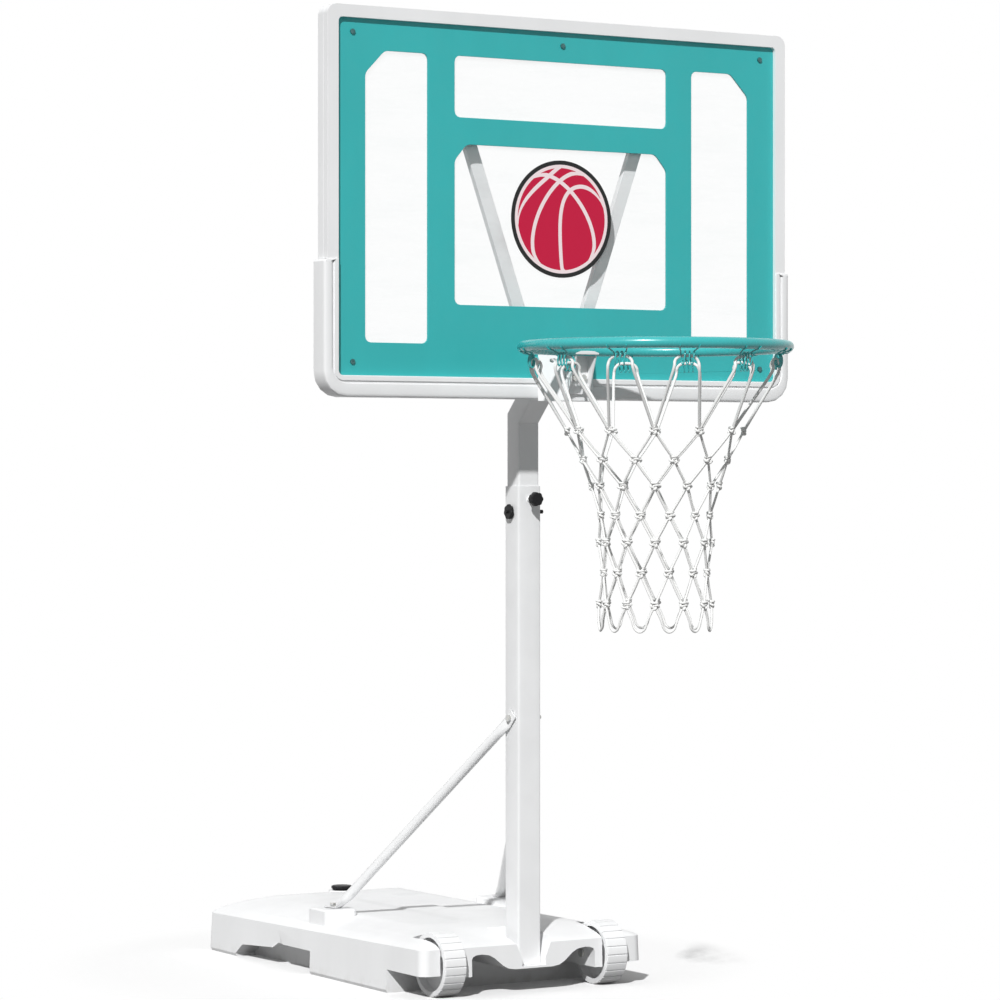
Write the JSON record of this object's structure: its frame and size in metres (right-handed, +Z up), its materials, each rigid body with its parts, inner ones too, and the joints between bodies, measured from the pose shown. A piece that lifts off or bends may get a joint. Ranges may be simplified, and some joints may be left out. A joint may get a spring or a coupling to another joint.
{
  "type": "poolside basketball hoop",
  "caption": "Free-standing poolside basketball hoop: a framed backboard with rim and cord net on a height-adjustable bent pole over a wheeled ballast tank.",
  "frame": {"origin": "middle of the ballast tank's flat underside, on the floor", "axes": "+Z up, +X to the right along the board as seen from the water, -Y towards the water, which the rim overhangs"},
  "size_m": [1.0042, 1.5388, 1.8016],
  "materials": {
    "white_plastic": "fine matt moulded",
    "white_paint": "smooth powder coat",
    "teal_plastic": "satin moulded",
    "teal_paint": "semi-gloss powder coat",
    "black_plastic": "satin moulded",
    "zinc_steel": "zinc plated",
    "clear_plastic": "clear polished sheet",
    "red_print": "printed film",
    "white_cord": "braided cord"
  },
  "bodies": {
    "base": {"lower_pole": "white_paint", "clamp_nut": "white_paint", "lock_nut": "white_paint", "strut_left": "white_paint", "strut_right": "white_paint", "strut_bolt": "zinc_steel", "strut_nut": "zinc_steel", "strut_foot_screw_left": "zinc_steel", "strut_foot_screw_right": "zinc_steel", "base_tank": "white_plastic", "axle_left": "zinc_steel", "axle_right": "zinc_steel", "foot_bolt": "zinc_steel", "foot_nut": "zinc_steel"},
    "mast": {"front_frame": "white_plastic", "rear_frame": "white_plastic", "bumper": "white_plastic", "lattice_panel": "teal_plastic", "clear_sheet": "clear_plastic", "ball_print": "red_print", "panel_screw_low_left": "zinc_steel", "panel_screw_low_right": "zinc_steel", "panel_screw_high_left": "zinc_steel", "panel_screw_high_middle": "zinc_steel", "panel_screw_high_right": "zinc_steel", "arm_left": "white_paint", "arm_right": "white_paint", "arm_screw_left": "zinc_steel", "arm_screw_right": "zinc_steel", "head_bracket": "white_paint", "head_bolt_low": "zinc_steel", "head_nut_low": "zinc_steel", "head_bolt_high": "zinc_steel", "head_nut_high": "zinc_steel", "rim_bracket": "white_paint", "bracket_bolt_high_left": "zinc_steel", "bracket_nut_high_left": "zinc_steel", "bracket_bolt_high_right": "zinc_steel", "bracket_nut_high_right": "zinc_steel", "bracket_bolt_low_left": "zinc_steel", "bracket_nut_low_left": "zinc_steel", "bracket_bolt_low_right": "zinc_steel", "bracket_nut_low_right": "zinc_steel", "rim": "teal_paint", "rim_bolt_left": "zinc_steel", "rim_bolt_right": "zinc_steel", "rim_nut_left": "zinc_steel", "rim_nut_right": "zinc_steel", "net": "white_cord", "upper_pole": "white_paint", "pole_cap": "black_plastic"},
    "wheel_left": {"wheel_left": "white_plastic"},
    "wheel_right": {"wheel_right": "white_plastic"},
    "clamp_screw": {"clamp_stud": "zinc_steel"},
    "clamp_handle": {"clamp_knob": "black_plastic"},
    "lock_pin": {"lock_bolt": "black_plastic"},
    "lock_handle": {"lock_knob": "black_plastic"},
    "cap_seal": {"filler_gasket": "black_plastic"},
    "cap": {"filler_cap": "black_plastic"}
  },
  "joints": [
    {"name": "height_slide", "type": "slide", "parent": "base", "child": "mast", "axis": [0, 0, 1], "range_m": [0, 0.3]},
    {"name": "wheel_left_roll", "type": "hinge", "parent": "base", "child": "wheel_left", "pos_m": [-0.176, -0.462, 0.06], "axis": [1, 0, 0], "continuous": true},
    {"name": "wheel_right_roll", "type": "hinge", "parent": "base", "child": "wheel_right", "pos_m": [0.176, -0.462, 0.06], "axis": [1, 0, 0], "continuous": true},
    {"name": "clamp_travel", "type": "slide", "parent": "base", "child": "clamp_screw", "axis": [0, -1, 0], "range_m": [0, 0.003]},
    {"name": "clamp_turn", "type": "hinge", "parent": "clamp_screw", "child": "clamp_handle", "pos_m": [0, -0.5135, 0.92], "axis": [0, -1, 0], "range_deg": [0, 720]},
    {"name": "lock_bolt_pull", "type": "slide", "parent": "base", "child": "lock_pin", "axis": [-1, 0, 0], "range_m": [0, 0.067]},
    {"name": "lock_knob_turn", "type": "hinge", "parent": "lock_pin", "child": "lock_handle", "pos_m": [-0.033, -0.4665, 0.896], "axis": [-1, 0, 0], "range_deg": [0, 720]},
    {"name": "cap_lift", "type": "slide", "parent": "base", "child": "cap_seal", "axis": [0, 0, 1], "range_m": [0, 0.008]},
    {"name": "cap_turn", "type": "hinge", "parent": "cap_seal", "child": "cap", "pos_m": [0, 0.2475, 0.122], "axis": [0, 0, 1], "range_deg": [0, 720]}
  ],
  "couplings": [
    {"joint": "clamp_travel", "follows": "clamp_turn", "m_per_rad": 0.00019894},
    {"joint": "cap_lift", "follows": "cap_turn", "m_per_rad": 0.00063662}
  ]
}
